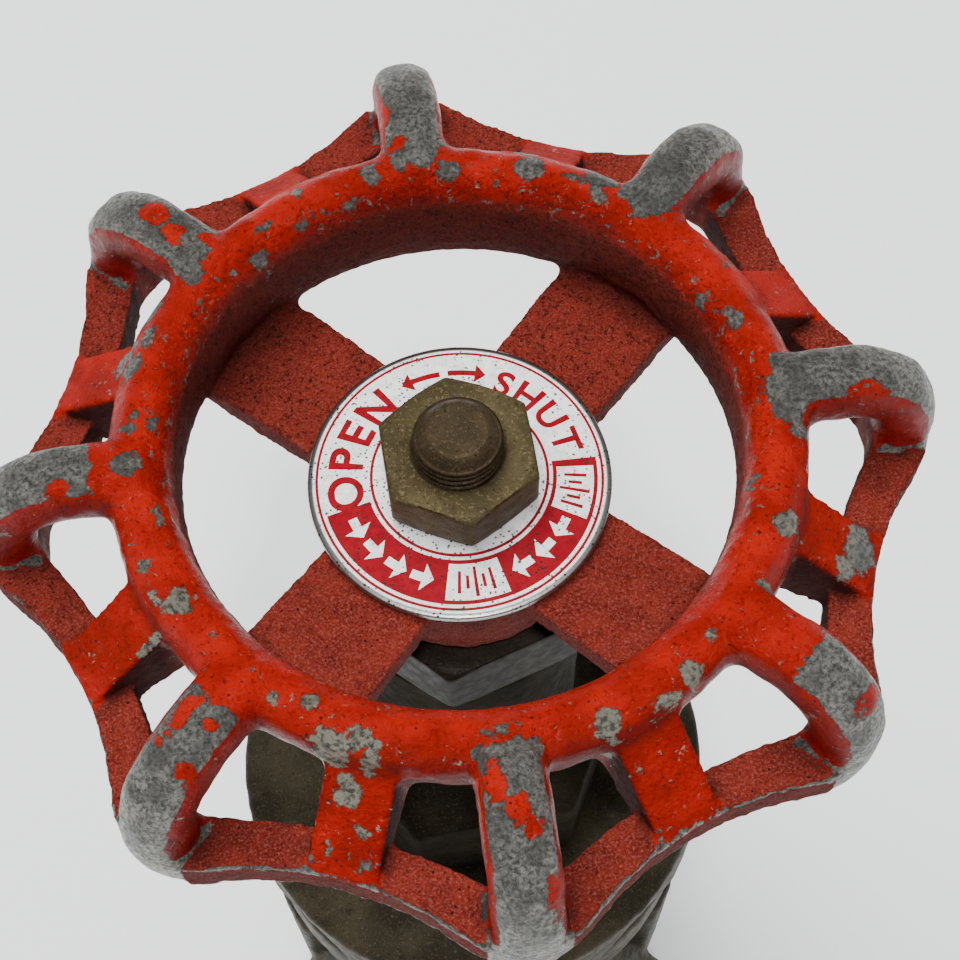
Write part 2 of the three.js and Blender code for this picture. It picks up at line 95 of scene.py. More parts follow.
# The castings below the wheel are round above these heights, and have flats or hexagons below.
NECK_ROUNDED_ABOVE = RIM_Z - 57.5 * MM
BONNET_ROUNDED_ABOVE = RIM_Z - 79.6 * MM
BODY_ROUNDED_ABOVE = RIM_Z - 104.0 * MM

# Camera: directions of its axes, and its place in millimetres from the middle of the band's top.
SENSOR_WIDTH = 36.0
FOCAL_LENGTH = 66.19
CAMERA_RIGHT = (0.99970742, -0.02162289, -0.01084096)
CAMERA_UP = (0.02418834, 0.89367693, 0.44805855)
CAMERA_FORWARD = (0.0, 0.44818968, -0.89393848)
CAMERA_PLACE = (1.806, -70.748, 139.976)

# Lights: name, place, size, power in watts, and whether glossy surfaces reflect it.
LIGHTS = (
    ("diffuse_softbox", (-0.3, 0.42, 1.5), 1.0, 48.0, False),
    ("front_lamp", (0.02, -0.40, 1.35), 0.13, 13.0, True),
)
FLOOR_SIZE = 6.0
FLOOR_COLOUR = (0.80, 0.815, 0.81)
WORLD_COLOUR = (0.95, 0.98, 1.0)
WORLD_STRENGTH = 0.24

# Colours of the handwheel, as linear red, green and blue.
ENAMEL_BRIGHT = (0.25, 0.0062, 0.0024)
ENAMEL_DEEP = (0.16, 0.0042, 0.0017)
ENAMEL_SCUFF = (0.40, 0.075, 0.055)
CAST_RED_DEEP = (0.13, 0.012, 0.008)
CAST_RED_BRIGHT = (0.19, 0.018, 0.011)
DUST_PINK = (0.28, 0.075, 0.058)
# Painted shade on the inner wall, and darker cast faces at the back left.
DARKENED_RED = (0.15, 0.018, 0.012)
PIT_BLACK = (0.02, 0.007, 0.004)
SPOT_BLACK = (0.016, 0.008, 0.006)
# Painted shade on the sides of the tabs and gussets.
PAINTED_SHADE_RED = (0.022, 0.003, 0.002)
IRON_DARK = (0.085, 0.084, 0.076)
IRON_LIGHT = (0.36, 0.35, 0.315)
IRON_BLOTCH = (0.085, 0.086, 0.080)
# Painted sheen in the chips at the front of the wheel.
SHEEN_CHIP_DARK = (0.08, 0.08, 0.07)
SHEEN_CHIP_LIGHT = (0.40, 0.37, 0.29)
CHIP_EDGE = (0.035, 0.026, 0.02)
# Painted shade in hollows.
HOLLOW_SHADE_BLACK = (0.018, 0.007, 0.005)

# Colours of the nameplate.
PLATE_WHITE = (0.68, 0.68, 0.67)
PLATE_RIM_METAL = (0.42, 0.42, 0.40)
PRINT_RED = (0.20, 0.0022, 0.008)
SPECK_BLACK = (0.02, 0.016, 0.013)

# Places on the wheel where the paint has gone, or is left. On a finger bar or a tab they are
# (radius, distance sideways, half length along the radius, half width), in millimetres.
BAR_PAINT_ENDS = (26.5, 26.5, 28.8, 26.5, 30.6, 31.0, 28.2, 34.9)
BAR_PAINT = (
    [(34.8, -2.4, 1.6, 1.1)],
    [(28.3, -2.8, 1.6, 0.6)],
    [(28.4, 1.2, 1.3, 1.3), (33.0, 2.6, 1.3, 0.7)],
    [(27.6, -0.9, 1.7, 1.9), (31.2, 0.2, 1.2, 1.1), (34.2, -0.4, 1.5, 1.2)],
    [(33.4, 1.8, 1.0, 0.7)],
    [(32.8, 1.2, 0.45, 0.7), (36.8, 1.8, 0.7, 1.0), (33.4, -1.3, 2.4, 0.7)],
    [(31.4, -1.4, 2.0, 0.7), (33.8, 0.0, 1.0, 1.0), (35.1, 1.2, 0.8, 0.7), (39.9, 2.4, 1.4, 0.9)],
    [(40.4, 0.3, 0.55, 1.8)],
)
TAB_CHIPS = (
    [],
    [(30.2, 1.0, 1.6, 1.4)],
    [(30.5, -0.5, 1.0, 0.5)],
    [(30.2, -0.8, 1.4, 1.5)],
    [(31.0, 2.9, 0.9, 0.5)],
    [(31.4, -0.8, 1.1, 1.2), (29.5, 0.6, 0.6, 0.7), (34.0, 0.8, 0.4, 0.55), (36.0, 1.8, 0.5, 0.55),
     (35.7, -1.4, 0.55, 0.4)],
    [(32.0, -1.9, 0.35, 0.5), (29.4, 2.7, 0.6, 0.5)],
    [(35.3, 0.6, 1.5, 2.4), (34.4, -1.8, 1.0, 1.2)],
)
# Chips on the ring: (degrees round from +X, radius, half length round the ring, half width).
RING_CHIPS = (
    (-173.0, 27.5, 0.9, 1.4), (-163.0, 26.0, 0.9, 0.4), (-155.0, 28.3, 0.6, 0.5),
    (-149.0, 28.7, 1.0, 0.4), (-145.5, 27.3, 1.1, 1.0), (-137.0, 27.0, 0.5, 0.4),
    (-121.5, 28.0, 0.5, 0.5), (-116.5, 26.7, 0.7, 0.8), (-110.5, 29.2, 1.9, 1.0),
    (-106.5, 28.4, 0.9, 0.8), (-103.5, 28.8, 0.6, 0.6), (-84.0, 27.2, 1.1, 0.45),
    (-67.0, 28.7, 1.2, 1.0), (-57.0, 29.3, 1.2, 0.5), (-51.0, 28.8, 0.9, 1.0),
    (-45.0, 27.8, 0.5, 0.4), (-32.5, 29.0, 0.5, 0.7), (-20.0, 28.6, 1.1, 1.2),
    (-2.5, 28.8, 0.8, 0.9), (-13.0, 25.2, 0.7, 0.4), (23.0, 26.1, 1.1, 0.55),
    (30.0, 25.0, 0.6, 0.3), (33.0, 28.6, 0.4, 0.55), (61.5, 28.4, 1.5, 1.3),
    (60.5, 26.5, 0.8, 0.7), (66.0, 27.3, 0.8, 0.5), (75.0, 27.2, 1.3, 1.4),
    (91.0, 26.4, 1.1, 0.9), (100.0, 27.6, 0.7, 1.2), (106.0, 27.0, 0.9, 1.2),
    (120.0, 28.0, 0.5, 0.6), (128.5, 27.9, 0.5, 0.6), (129.0, 26.6, 0.6, 0.3),
    (113.0, 25.2, 1.0, 0.35), (122.0, 25.1, 0.7, 0.3), (134.0, 24.9, 0.9, 0.4),
    (142.0, 28.9, 1.1, 1.4), (146.0, 27.4, 1.0, 0.9), (155.0, 29.3, 1.3, 0.5),
    (160.5, 28.1, 1.0, 0.8), (167.0, 28.5, 1.4, 0.9), (176.5, 27.2, 0.4, 0.4),
    (179.5, 27.7, 0.5, 0.5), (178.0, 25.7, 0.6, 0.4), (187.5, 28.0, 1.0, 1.3),
    (4.0, 27.8, 2.4, 1.7), (52.0, 27.9, 1.8, 1.6), (96.0, 28.2, 1.7, 1.8),
)


# Scene: camera, floor and light.

def add_camera():
    data = bpy.data.cameras.new("camera")
    data.sensor_width = SENSOR_WIDTH
    data.lens = FOCAL_LENGTH
    data.clip_start = 0.01
    camera = bpy.data.objects.new("camera", data)
    bpy.context.scene.collection.objects.link(camera)
    backward = [-c for c in CAMERA_FORWARD]
    matrix = Matrix((CAMERA_RIGHT, CAMERA_UP, backward)).transposed().to_4x4()
    matrix.translation = (CAMERA_PLACE[0] * MM, CAMERA_PLACE[1] * MM, RIM_Z + CAMERA_PLACE[2] * MM)
    camera.matrix_world = matrix
    bpy.context.scene.camera = camera


def add_area_light(name, place, size, power, in_reflections):
    """A round light that shines on the handwheel."""
    data = bpy.data.lights.new(name, "AREA")
    data.shape = "DISK"
    data.size = size
    data.energy = power
    light = bpy.data.objects.new(name, data)
    light.visible_glossy = in_reflections
    bpy.context.scene.collection.objects.link(light)
    light.location = place
    aim = Vector((0.0, 0.0, RIM_Z)) - Vector(place)
    light.rotation_euler = aim.to_track_quat("-Z", "Y").to_euler()


def add_stage():
    bpy.ops.mesh.primitive_plane_add(size=FLOOR_SIZE, location=(0.0, 0.0, cad_low[2]))
    floor = bpy.context.object
    floor.name = "floor"
    floor.data.materials.append(Shading("floor_paper").finish(FLOOR_COLOUR, 0.9, 0.0))

    world = bpy.data.worlds.new("soft_white")
    bpy.context.scene.world = world
    world.use_nodes = True
    background = world.node_tree.nodes["Background"]
    background.inputs["Color"].default_value = (*WORLD_COLOUR, 1.0)
    background.inputs["Strength"].default_value = WORLD_STRENGTH
    for light in LIGHTS:
        add_area_light(*light)


# Mesh helpers.

def link_mesh(name, mesh):
    piece = bpy.data.objects.new(name, mesh)
    bpy.context.scene.collection.objects.link(piece)
    return piece


def shade_smooth(mesh):
    mesh.polygons.foreach_set("use_smooth", [True] * len(mesh.polygons))
    mesh.update()


def evaluated_mesh(piece):
    graph = bpy.context.evaluated_depsgraph_get()
    return bpy.data.meshes.new_from_object(piece.evaluated_get(graph))


def remeshed_copy(node, name, voxel, smooth_steps):
    """A fine, even copy of a CAD node whose edges are softened like a casting's."""
    mesh = frame["nodes"][node].data.copy()
    mesh.materials.clear()
    bm = bmesh.new()
    bm.from_mesh(mesh)
    bmesh.ops.remove_doubles(bm, verts=bm.verts, dist=1e-6)
    bm.to_mesh(mesh)
    bm.free()
    rough = link_mesh(name + ".rough", mesh)
    remesh = rough.modifiers.new("remesh", "REMESH")
    remesh.mode = "VOXEL"
    remesh.voxel_size = voxel
    smooth = rough.modifiers.new("smooth", "SMOOTH")
    smooth.factor = 0.5
    smooth.iterations = smooth_steps
    fine = evaluated_mesh(rough)
    bpy.data.objects.remove(rough)
    shade_smooth(fine)
    return link_mesh(name, fine)


def points_of(mesh):
    co = np.empty(len(mesh.vertices) * 3)
    mesh.vertices.foreach_get("co", co)
    return co.reshape(-1, 3)


def normals_of(mesh):
    normals = np.empty(len(mesh.vertices) * 3)
    mesh.vertex_normals.foreach_get("vector", normals)
    return normals.reshape(-1, 3)


def set_points(mesh, co):
    """Moves the vertices, and keeps them inside the CAD model's box."""
    inside = np.clip(co, np.array(cad_low), np.array(cad_high))
    mesh.vertices.foreach_set("co", inside.astype(np.float32).ravel())
    mesh.update()


def set_attribute(mesh, name, values):
    attribute = mesh.attributes.new(name, "FLOAT", "POINT")
    attribute.data.foreach_set("value", np.asarray(values, np.float32))


def smoothstep(low, high, values):
    t = np.clip((values - low) / (high - low), 0.0, 1.0)
    return t * t * (3 - 2 * t)


def noise_at(co, scale, seed):
    """Smooth noise, about -1 to 1, with one swing per 1 / scale metres."""
    offset = Vector((seed * 7.13, seed * 3.71, seed * 5.29))
    return np.array([noise.noise(Vector(p) * scale + offset) for p in co])


def relief_at(co, layers):
    """Height in millimetres of some layers of noise together."""
    return sum(noise_at(co, scale, seed) * height for scale, seed, height in layers)


def round_facets(co, facets, weight):
    """Bulges a turned surface's flat facets out to the circle that their corners lie on."""
    angle = np.arctan2(co[:, 1], co[:, 0])
    step = TAU / facets
    offset = np.mod(angle + math.pi / 2, step) - step / 2
    factor = np.cos(offset) / math.cos(step / 2)
    scale = 1 + (factor - 1) * weight
    co[:, :2] *= scale[:, None]


def neighbour_average(mesh):
    """A function that averages a value over each vertex's neighbours, a number of times."""
    ends = np.empty(len(mesh.edges) * 2, np.int64)
    mesh.edges.foreach_get("vertices", ends)
    ends = ends.reshape(-1, 2)
    share = np.maximum(np.bincount(ends.ravel(), minlength=len(mesh.vertices)), 1)

    def average(values, times=1):
        for _ in range(times):
            total = np.zeros_like(values)
            np.add.at(total, ends[:, 0], values[ends[:, 1]])
            np.add.at(total, ends[:, 1], values[ends[:, 0]])
            values = total / (share[:, None] if values.ndim == 2 else share)
        return values

    return average


def convexity(mesh, average, spread=4):
    """How much the surface bulges at each vertex: above 0 on outer edges, below 0 in hollows."""
    co = points_of(mesh)
    bulge = np.einsum("ij,ij->i", co - average(co, spread), normals_of(mesh)) / MM
    return average(bulge)


def loft(name, rows, closed_rows=False):
    """A closed surface through rings of points, given as an array of ring, point and X, Y, Z."""
    rows = np.asarray(rows)
    count, around = rows.shape[:2]
    faces = []
    last = count if closed_rows else count - 1
    for i in range(last):
        j = (i + 1) % count
        for k in range(around):
            m = (k + 1) % around
            faces.append((i * around + k, i * around + m, j * around + m, j * around + k))
    if not closed_rows:
        faces.append(tuple(range(around))[::-1])
        faces.append(tuple((count - 1) * around + k for k in range(around)))
    mesh = bpy.data.meshes.new(name)
    mesh.from_pydata(rows.reshape(-1, 3).tolist(), [], faces)
    bm = bmesh.new()
    bm.from_mesh(mesh)
    bmesh.ops.recalc_face_normals(bm, faces=bm.faces)
    bm.to_mesh(mesh)
    bm.free()
    shade_smooth(mesh)
    return link_mesh(name, mesh)


def finish_piece(piece, material, body, node=None):
    """Gives a piece its material and the body it rides, and hides the CAD node it stands for."""
    piece.data.materials.clear()
    piece.data.materials.append(material)
    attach(piece, body)
    if node:
        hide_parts(node)


# Materials.

class Shading:
    """Short ways to add nodes to one material."""

    def __init__(self, name):
        self.material = bpy.data.materials.new(name)
        self.material.use_nodes = True
        self.nodes = self.material.node_tree.nodes
        self.links = self.material.node_tree.links
        self.shader = self.nodes["Principled BSDF"]
        coords = self.nodes.new("ShaderNodeTexCoord")
        scale = self.nodes.new("ShaderNodeVectorMath")
        scale.operation = "SCALE"
        scale.inputs["Scale"].default_value = 1 / MM
        self.links.new(coords.outputs["Object"], scale.inputs[0])
        self.place = scale.outputs[0]  # position in millimetres

    def put(self, source, socket):
        """Sets a socket to a number or a colour, or links another socket to it."""
        if isinstance(source, (int, float)):
            socket.default_value = source
        elif isinstance(source, tuple):
            socket.default_value = (*source, 1.0)
        else:
            self.links.new(source, socket)

    def noise(self, scale, detail=3.0, roughness=0.55, distortion=0.0):
        node = self.nodes.new("ShaderNodeTexNoise")
        node.inputs["Scale"].default_value = scale
        node.inputs["Detail"].default_value = detail
        node.inputs["Roughness"].default_value = roughness
        node.inputs["Distortion"].default_value = distortion
        self.links.new(self.place, node.inputs["Vector"])
        return node.outputs["Fac"]

    def cells(self, scale):
        node = self.nodes.new("ShaderNodeTexVoronoi")
        node.inputs["Scale"].default_value = scale
        self.links.new(self.place, node.inputs["Vector"])
        return node.outputs["Distance"]

    def speck_distance(self, scale):
        """Distance to the middle of the nearest speck, made uneven so that specks are not round."""
        return self.math("MULTIPLY_ADD", self.noise(scale * 2.2, 2.0), 0.3,
                         self.math("SUBTRACT", self.cells(scale), 0.15))

    def distance_from_axis(self):
        """Distance from the stem's axis in millimetres."""
        flat = self.nodes.new("ShaderNodeVectorMath")
        flat.operation = "MULTIPLY"
        self.links.new(self.place, flat.inputs[0])
        flat.inputs[1].default_value = (1.0, 1.0, 0.0)
        length = self.nodes.new("ShaderNodeVectorMath")
        length.operation = "LENGTH"
        self.links.new(flat.outputs[0], length.inputs[0])
        return length.outputs["Value"]

    def attribute(self, name):
        node = self.nodes.new("ShaderNodeAttribute")
        node.attribute_name = name
        return node.outputs["Fac"]

    def math(self, operation, a, b=0.0, c=0.0):
        node = self.nodes.new("ShaderNodeMath")
        node.operation = operation
        self.put(a, node.inputs[0])
        self.put(b, node.inputs[1])
        self.put(c, node.inputs[2])
        return node.outputs[0]

    def ramp(self, value, low, high, out_low=0.0, out_high=1.0):
        node = self.nodes.new("ShaderNodeMapRange")
        node.interpolation_type = "SMOOTHSTEP"
        self.put(value, node.inputs["Value"])
        node.inputs["From Min"].default_value = low
        node.inputs["From Max"].default_value = high
        node.inputs["To Min"].default_value = out_low
        node.inputs["To Max"].default_value = out_high
        return node.outputs["Result"]

    def scaled(self, value, factor):
        return self.math("MULTIPLY", value, factor)

    def mix(self, factor, a, b):
        """A mix of two colours. The sockets' numbers are those of the node's colour mode."""
        node = self.nodes.new("ShaderNodeMix")
        node.data_type = "RGBA"
        self.put(factor, node.inputs["Factor"])
        self.put(a, node.inputs[6])
        self.put(b, node.inputs[7])
        return node.outputs[2]

    def bump(self, height, distance, strength, normal=None):
        node = self.nodes.new("ShaderNodeBump")
        node.inputs["Strength"].default_value = strength
        node.inputs["Distance"].default_value = distance
        self.put(height, node.inputs["Height"])
        if normal is not None:
            self.links.new(normal, node.inputs["Normal"])
        return node.outputs["Normal"]

    def finish(self, colour, roughness, metallic, normal=None):
        self.put(colour, self.shader.inputs["Base Color"])
        self.put(roughness, self.shader.inputs["Roughness"])
        self.put(metallic, self.shader.inputs["Metallic"])
        if normal is not None:
            self.links.new(normal, self.shader.inputs["Normal"])
        return self.material


def scaled_colour(colour, factor):
    return tuple(c * factor for c in colour)


def wheel_material():
    """Chipped red enamel over malleable iron. make_wheel says what the attributes mean."""
    s = Shading("chipped_red_enamel")
    s.shader.inputs["Specular IOR Level"].default_value = 0.1
    cast = s.attribute("cast")
    soot = s.attribute("soot")

    # Bare metal: the patches in "bare" with ragged edges, and small chips all over the smooth enamel.
    wander = s.math("MULTIPLY_ADD", s.noise(0.75, 3.0, 0.6), 2.0, -1.0)
    ragged = s.math("MULTIPLY_ADD", s.noise(2.4, 4.0, 0.6), 0.9, -0.45)
    field = s.math("ADD", s.math("ADD", s.attribute("bare"), wander), ragged)
    patches = s.ramp(field, -0.03, 0.03)
    chip_noise = s.math("MULTIPLY_ADD", soot, 0.05, s.noise(1.15, 4.0, 0.65, 0.5))
    small_chips = s.ramp(chip_noise, 0.655, 0.665)
    smooth_faces = s.math("SUBTRACT", 1.0, cast)
    bare = s.math("MAXIMUM", patches, s.scaled(small_chips, smooth_faces))

    # Enamel: smooth on the ring, bars and tabs, dusty and gritty on the rough cast faces.
    red = s.mix(s.ramp(s.noise(0.22, 3.0), 0.35, 0.65), ENAMEL_BRIGHT, ENAMEL_DEEP)
    scuffs = s.ramp(s.noise(1.6, 5.0, 0.75, 0.4), 0.60, 0.68)
    red = s.mix(s.scaled(scuffs, 0.35), red, ENAMEL_SCUFF)
    grit = s.noise(4.2, 4.0, 0.72)
    tone = s.ramp(s.noise(0.35, 4.0, 0.65), 0.38, 0.62)
    rough_red = s.mix(tone, CAST_RED_DEEP, CAST_RED_BRIGHT)
    dusty = s.mix(s.ramp(grit, 0.44, 0.68, 0.0, 0.8), rough_red, DUST_PINK)
    # Painted shade on the inner wall, and darker cast faces at the back left.
    dusty = s.mix(s.scaled(soot, 0.35), dusty, DARKENED_RED)
    paint = s.mix(cast, red, dusty)

    # Dirt on the paint: pits and black spots in loose groups; then nearly black painted shade on the
    # sides of the tabs and gussets.
    # More pits on the inner wall's painted shade and on the darker cast faces at the back left.
    pits = s.ramp(s.math("MULTIPLY_ADD", soot, 0.03, s.noise(2.3, 4.0, 0.72)), 0.59, 0.63)
    pit_share = s.math("MULTIPLY_ADD", cast, 0.35, s.math("MULTIPLY_ADD", soot, 0.3, 0.12))
    paint = s.mix(s.scaled(pits, pit_share), paint, PIT_BLACK)
    spots = s.ramp(s.speck_distance(1.3), 0.10, 0.17, 1.0, 0.0)
    spot_groups = s.ramp(s.noise(0.5, 2.0), 0.44, 0.52)
    paint = s.mix(s.scaled(spots, spot_groups), paint, SPOT_BLACK)
    # Painted shade: nearly black on the sides of the tabs and gussets.
    paint = s.mix(s.scaled(s.attribute("shade"), 0.8), paint, PAINTED_SHADE_RED)

    # Bare iron: dull grey and a little mottled, with a paler painted sheen in the chips at the front of
    # the wheel, where the light reflects.
    grain = s.noise(2.6, 5.0, 0.72, 0.3)
    iron = s.mix(s.ramp(grain, 0.34, 0.68), IRON_DARK, IRON_LIGHT)
    blotch = s.ramp(s.noise(0.33, 4.0, 0.6), 0.44, 0.60)
    iron = s.mix(s.scaled(blotch, 0.55), iron, IRON_BLOTCH)
    sheen_chip = s.mix(s.ramp(s.noise(1.5, 4.0, 0.7), 0.40, 0.56), SHEEN_CHIP_DARK, SHEEN_CHIP_LIGHT)
    iron = s.mix(s.scaled(s.attribute("pale"), 0.8), iron, sheen_chip)
    chip_edge = s.scaled(s.ramp(field, -0.3, 0.0), s.ramp(field, 0.0, 0.2, 1.0, 0.0))
    iron = s.mix(s.scaled(chip_edge, 0.75), iron, CHIP_EDGE)
    colour = s.mix(bare, paint, iron)
    # Painted shade: black in the hollows.
    colour = s.mix(s.scaled(s.attribute("grime"), 0.75), colour, HOLLOW_SHADE_BLACK)

    glaze_rough = s.ramp(s.noise(0.9, 4.0), 0.35, 0.65, 0.16, 0.27)
    paint_rough = s.math("MULTIPLY_ADD", s.attribute("dull"), 0.5, glaze_rough)
    iron_rough = s.ramp(grain, 0.35, 0.65, 0.46, 0.30)
    roughness = s.math("MULTIPLY_ADD", bare, s.math("SUBTRACT", iron_rough, paint_rough), paint_rough)
    metallic = s.scaled(bare, 0.85)

    # Relief: steps at the edges of chips, worn grain, sand-cast grit, pits and broad lumps.
    edge_normal = s.bump(s.scaled(bare, -1.0), 0.12 * MM, 0.9)
    worn = s.scaled(grain, s.math("MULTIPLY_ADD", bare, 0.8, 0.2))
    worn_normal = s.bump(worn, 0.28 * MM, 0.9, edge_normal)
    cast_normal = s.bump(s.scaled(grit, cast), 0.6 * MM, 0.9, worn_normal)
    pit_normal = s.bump(s.scaled(pits, -1.0), 0.16 * MM, 0.8, cast_normal)
    lump_normal = s.bump(s.noise(1.3, 5.0, 0.7), 0.5 * MM, 0.7, pit_normal)
    return s.finish(colour, roughness, metallic, lump_normal)


def bronze_material(name, light, dark, rough, grain_height, metallic, gloss=0.15):
    """Sand-cast or turned bronze with a mottled tarnish. grain_height is in millimetres."""
    s = Shading(name)
    s.shader.inputs["Specular IOR Level"].default_value = gloss
    tarnish = s.ramp(s.noise(0.12, 4.0, 0.6), 0.38, 0.64)
    colour = s.mix(tarnish, dark, light)
    stain = s.ramp(s.noise(0.6, 5.0, 0.7), 0.55, 0.7)
    colour = s.mix(s.scaled(stain, 0.5), colour, scaled_colour(dark, 0.45))
    bright = s.ramp(s.noise(3.2, 3.0, 0.7), 0.56, 0.64)
    colour = s.mix(s.scaled(bright, 0.55), colour, scaled_colour(light, 2.0))
    black = s.ramp(s.noise(2.6, 3.0, 0.75, 0.2), 0.59, 0.65)
    colour = s.mix(s.scaled(black, 0.7), colour, scaled_colour(dark, 0.3))
    roughness = s.ramp(s.noise(0.8, 4.0), 0.3, 0.7, rough - 0.08, rough + 0.14)
    relief = s.bump(s.noise(3.4, 3.0, 0.7), grain_height * MM, 0.8)
    return s.finish(colour, roughness, metallic, relief)


def plate_material(name, colour, rough, gloss, rim=None):
    """White enamel or ink, with black specks. Beyond the radius rim, in mm, the metal is bare."""
    s = Shading(name)
    s.shader.inputs["Specular IOR Level"].default_value = gloss
    clean = s.mix(s.ramp(s.noise(0.5, 3.0), 0.35, 0.65), scaled_colour(colour, 0.86), colour)
    metallic = 0.0
    if rim:
        metallic = s.ramp(s.distance_from_axis(), rim - 0.08, rim + 0.08)
        clean = s.mix(metallic, clean, PLATE_RIM_METAL)
    small = s.ramp(s.speck_distance(2.3), 0.20, 0.30, 1.0, 0.0)
    large = s.ramp(s.speck_distance(1.2), 0.12, 0.19, 1.0, 0.0)
    crowded = s.ramp(s.noise(0.33, 3.0, 0.6), 0.42, 0.54)
    sparse = s.ramp(s.noise(0.9, 2.0, 0.5), 0.46, 0.54)
    dirt = s.math("MAXIMUM", s.scaled(small, crowded), s.scaled(large, sparse))
    film = s.ramp(s.noise(1.3, 5.0, 0.75), 0.48, 0.62)
    surface = s.mix(s.scaled(film, 0.5), clean, scaled_colour(colour, 0.55))
    surface = s.mix(s.scaled(dirt, 0.92), surface, SPECK_BLACK)
    roughness = s.math("MULTIPLY_ADD", dirt, 0.3, rough)
    relief = s.bump(s.noise(2.2, 3.0), 0.05 * MM, 0.5)
    return s.finish(surface, roughness, metallic, relief)


def packing_material():
    """Graphited braid: crossing strands over soft black."""
    s = Shading("graphited_braid")
    strands = s.ramp(s.cells(1.3), 0.1, 0.5)
    colour = s.mix(strands, (0.012, 0.012, 0.012), (0.06, 0.06, 0.058))
    return s.finish(colour, 0.8, 0.0, s.bump(strands, 0.15 * MM, 0.8))


def dress_inner_nodes():
    """Materials for the pieces inside that keep their CAD shape."""
    wedge_bronze = bronze_material(
        "wedge_bronze", (0.40, 0.30, 0.15), (0.24, 0.18, 0.09), 0.4, 0.12, 0.6)
    gland_brass = bronze_material(
        "gland_brass", (0.5, 0.38, 0.18), (0.33, 0.25, 0.12), 0.35, 0.06, 0.6)
    braid = packing_material()
    looks = {"wedge": wedge_bronze, "packing_gland": gland_brass}
    for node in frame["nodes"]:
        if node.startswith("packing_ring_"):
            looks[node] = braid
    for node, material in looks.items():
        for slot in frame["nodes"][node].material_slots:
            slot.material = material


# Handwheel.

def polar(co):
    """Radius in mm, angle in degrees from the first knob, height over the band in mm."""
    radius = np.hypot(co[:, 0], co[:, 1]) / MM
    angle = np.degrees(np.arctan2(co[:, 1], co[:, 0])) - WHEEL_TURN
    height = (co[:, 2] - RIM_Z) / MM
    return radius, np.mod(angle, 360.0), height


def lateral(radius, angle, first):
    """Sideways distance in mm from the nearest of eight radial planes, the first at an angle."""
    off = np.mod(angle - first + KNOB_PITCH / 2, KNOB_PITCH) - KNOB_PITCH / 2
    return radius * np.sin(np.radians(off))


def inside_oval(across, along, place, size):
    """Depth in mm inside an oval, below 0 outside it."""
    reach = np.hypot((across - place[0]) / size[0], (along - place[1]) / size[1])
    return (1.0 - reach) * min(size)


def paint_wear(radius, angle, height, normals, outward, bulge, zones):
    """Depth in mm inside bare metal, below 0 where the paint is still on."""
    knob, tab = zones
    well_painted, painted = -2.5, -1.5
    bare = np.full(len(radius), well_painted)

    # Finger bars: bare on top and outside, with paint on their sides, inside and underneath.
    nearest = np.round(angle / KNOB_PITCH).astype(int) % KNOBS
    side = lateral(radius, angle, 0.0)
    sideways = 1.0 - normals[:, 2] ** 2 - outward ** 2
    for index in range(KNOBS):
        depth = np.minimum(radius - BAR_PAINT_ENDS[index], 3.0)
        depth = np.minimum(depth, 3.2 - 5.0 * sideways)
        depth = np.where((normals[:, 2] < -0.2) | (outward < -0.5), painted, depth)
        for patch in BAR_PAINT[index]:
            depth = np.minimum(depth, -inside_oval(radius, side, patch[:2], patch[2:]))
        here = (nearest == index) & (knob > 0.5)
        bare[here] = depth[here]

    # Tabs and the ring: chips in the paint.
    nearest = np.round((angle - KNOB_PITCH / 2) / KNOB_PITCH).astype(int) % KNOBS
    side = lateral(radius, angle, KNOB_PITCH / 2)
    for index in range(KNOBS):
        for patch in TAB_CHIPS[index]:
            depth = inside_oval(radius, side, patch[:2], patch[2:])
            here = (nearest == index) & (tab > 0.3) & (depth > bare)
            bare[here] = depth[here]

    for degrees, place, half_length, half_width in RING_CHIPS:
        off = np.mod(angle + WHEEL_TURN - degrees + 180.0, 360.0) - 180.0
        along = radius * np.radians(off)
        depth = inside_oval(along, radius, (0.0, place), (half_length, half_width))
        here = (height > 1.5) & (radius < 30.8) & (depth > bare)
        bare[here] = depth[here]

    # The grip band's outer edges: worn through, and most of all in front.
    frontness = smoothstep(0.3, -0.9, np.sin(np.radians(angle + WHEEL_TURN)))
    rim_edge = 9.0 * bulge - 1.5 + 0.9 * frontness
    on_rim = (radius > 35.5) & (outward > 0.15) & (height < 1.0)
    return np.where(on_rim, np.maximum(bare, np.minimum(rim_edge, 0.9)), bare)


def wheel_zones(radius, angle, height):
    """How far each point belongs to a finger bar, a tab and the ring, from 0 to 1."""
    beside_knob = np.abs(lateral(radius, angle, 0.0))
    beside_tab = np.abs(lateral(radius, angle, KNOB_PITCH / 2))
    knob = smoothstep(3.7, 3.2, beside_knob) * smoothstep(26.6, 27.6, radius)
    knob *= np.maximum(smoothstep(0.2, 1.2, height), smoothstep(36.6, 37.4, radius))
    knob *= np.maximum(smoothstep(29.4, 30.6, radius),
                       smoothstep(6.5, 8.0, height) * smoothstep(3.0, 2.6, beside_knob))
    tab_start, tab_height, tab_length = 29.6, 6.2, 7.65
    tab_face = tab_height - (radius - tab_start) * tab_height / tab_length
    tab = smoothstep(3.5, 3.1, beside_tab) * smoothstep(tab_start - 1.0, tab_start, radius)
    tab *= smoothstep(-0.9, -0.4, height - tab_face)
    ring = smoothstep(30.8, 30.2, radius) * smoothstep(24.9, 25.6, radius + height * 0.12)
    ring *= smoothstep(-3.6, -1.0, height)
    return knob, tab, ring


